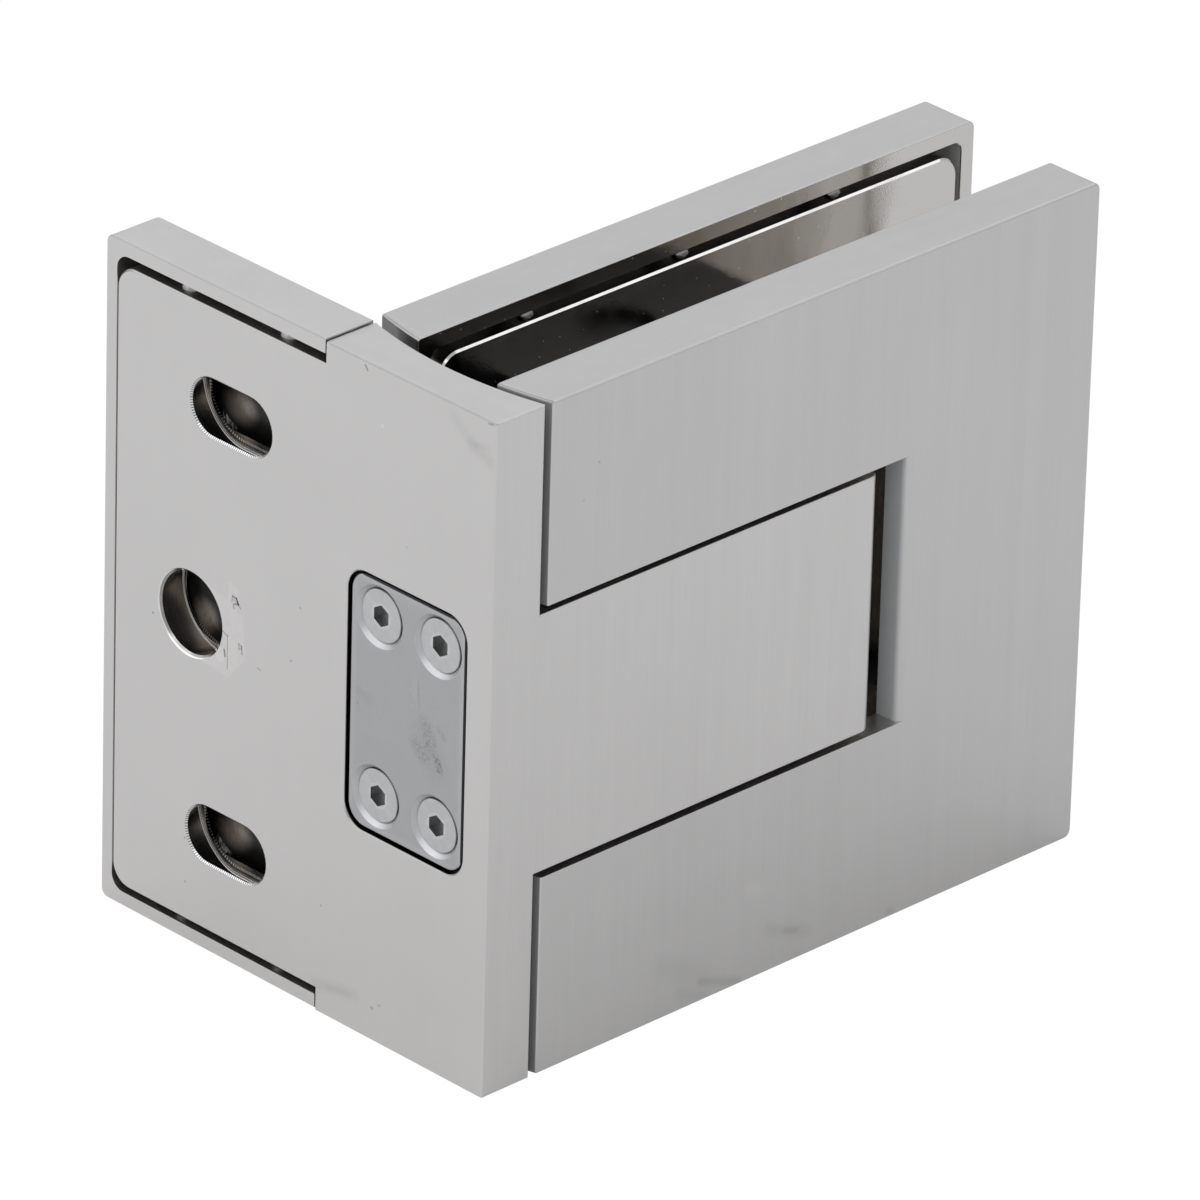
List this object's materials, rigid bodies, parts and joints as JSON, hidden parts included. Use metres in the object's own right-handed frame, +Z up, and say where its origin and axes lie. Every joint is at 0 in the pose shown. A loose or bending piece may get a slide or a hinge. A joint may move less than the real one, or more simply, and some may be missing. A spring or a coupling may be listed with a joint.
{
  "type": "glass door hinge",
  "caption": "Wall-to-glass door hinge: an offset wall plate with a tongue, and a two-plate glass clamp that turns about an upright pin.",
  "frame": {"origin": "centre of the wall plate's round fixing hole, on the face that lies against the wall", "axes": "+X out of the wall and along the closed door, +Y along the wall away from the pivot, +Z up along the pivot"},
  "size_m": [0.1022, 0.0679, 0.0903],
  "materials": {
    "satin_nickel": "solid brass with a brushed satin nickel plating",
    "polished_nickel": "solid brass with a polished nickel plating",
    "bright_steel": "turned stainless steel",
    "dull_steel": "dull stainless steel with finger marks",
    "bearing_brass": "plain bearing bronze",
    "bearing_plastic": "black acetal",
    "seal_rubber": "black rubber sheet"
  },
  "bodies": {
    "wall_side": {"wall_body": "satin_nickel", "wall_cover": "satin_nickel", "wall_cover_catches": "bright_steel", "chamber_plate": "dull_steel", "chamber_gasket": "seal_rubber", "chamber_screws": "bright_steel", "spring_seat": "bright_steel", "closing_spring": "dull_steel", "plunger": "bright_steel", "upper_bush": "bearing_brass", "lower_bush": "bearing_brass", "upper_thrust_washer": "bearing_plastic", "lower_thrust_washer": "bearing_plastic"},
    "glass_clamp": {"pivot_pin": "bright_steel", "pin_set_screws": "dull_steel", "near_clamp_plate": "polished_nickel", "near_clamp_cover": "satin_nickel", "near_cover_catches": "bright_steel", "far_clamp_plate": "polished_nickel", "far_clamp_cover": "satin_nickel", "far_cover_catches": "bright_steel", "clamp_screws": "bright_steel"}
  },
  "joints": [
    {"name": "door_swing", "type": "hinge", "parent": "wall_side", "child": "glass_clamp", "pos_m": [0.049, -0.0378, 0], "axis": [0, 0, 1], "range_deg": [-90, 90], "stiffness_Nm_per_rad": 0.2}
  ]
}
